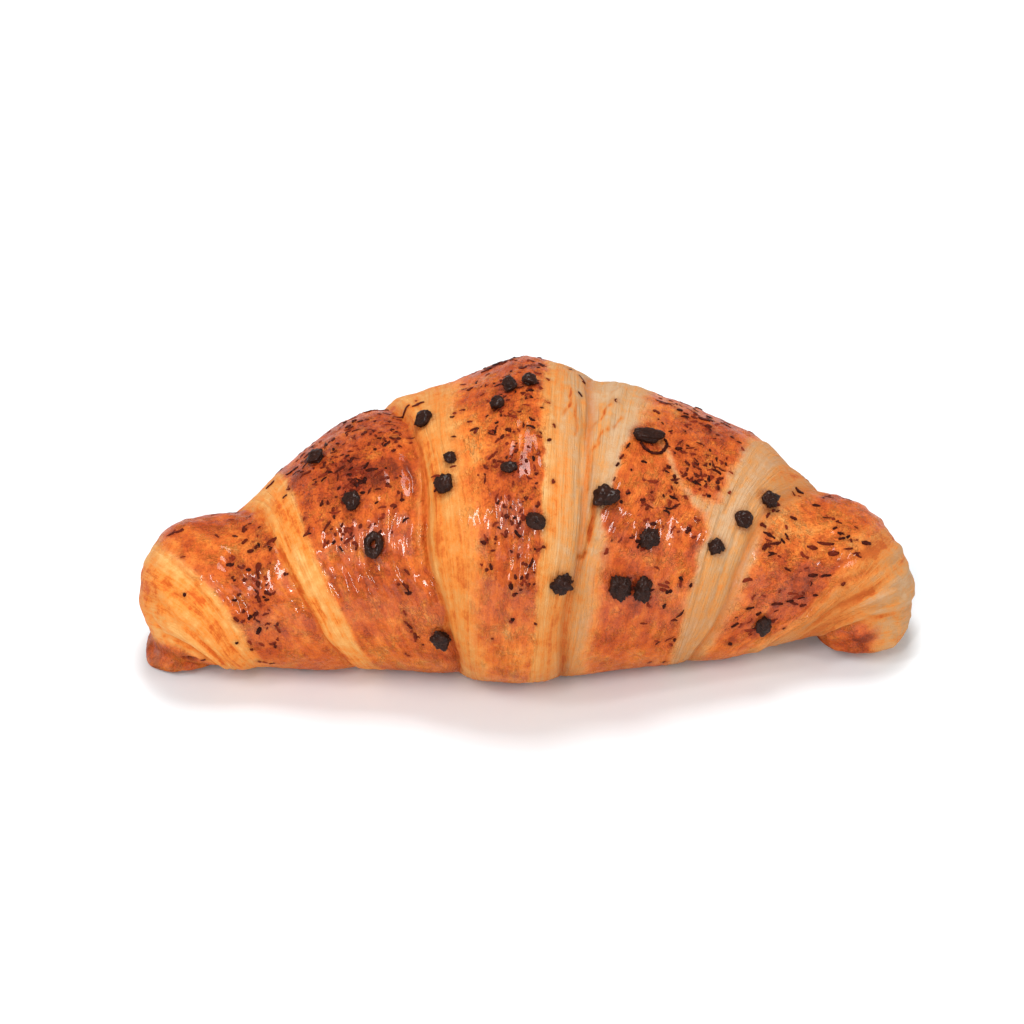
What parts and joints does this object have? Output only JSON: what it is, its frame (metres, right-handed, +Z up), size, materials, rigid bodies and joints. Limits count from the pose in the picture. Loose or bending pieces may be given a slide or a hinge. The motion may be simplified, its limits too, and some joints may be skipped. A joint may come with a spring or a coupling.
{
  "type": "chocolate croissant",
  "caption": "Baked crescent roll of laminated dough, curled under at both ends, glazed on top and dotted with chocolate drops; it rests on a flat underside.",
  "frame": {"origin": "on the surface the roll rests on, under the middle of its box", "axes": "+X along the roll, from one curled tip to the other; -Y is the front and +Y the back; +Z up"},
  "size_m": [0.1658, 0.0774, 0.0608],
  "materials": {
    "crust": "egg-washed laminated crust, glossy on the brown of each layer and matt on the pale edges",
    "chocolate": "bake-stable dark chocolate, satin"
  },
  "bodies": {
    "root": {"croissant_body": "crust", "chocolate_drop_01": "chocolate", "chocolate_drop_02": "chocolate", "chocolate_drop_03": "chocolate", "chocolate_drop_04": "chocolate", "chocolate_drop_05": "chocolate", "chocolate_drop_06": "chocolate", "chocolate_drop_07": "chocolate", "chocolate_drop_08": "chocolate", "chocolate_drop_09": "chocolate", "chocolate_drop_10": "chocolate", "chocolate_drop_11": "chocolate", "chocolate_drop_12": "chocolate", "chocolate_drop_13": "chocolate", "chocolate_drop_14": "chocolate", "chocolate_drop_15": "chocolate", "chocolate_drop_16": "chocolate", "chocolate_drop_17": "chocolate", "chocolate_drop_18": "chocolate", "chocolate_drop_19": "chocolate", "chocolate_drop_20": "chocolate", "chocolate_drop_21": "chocolate", "chocolate_drop_22": "chocolate", "chocolate_drop_23": "chocolate", "chocolate_drop_24": "chocolate", "chocolate_drop_25": "chocolate", "chocolate_drop_26": "chocolate", "chocolate_drop_27": "chocolate", "chocolate_drop_28": "chocolate", "chocolate_drop_29": "chocolate", "chocolate_drop_30": "chocolate", "chocolate_drop_31": "chocolate"}
  },
  "joints": []
}
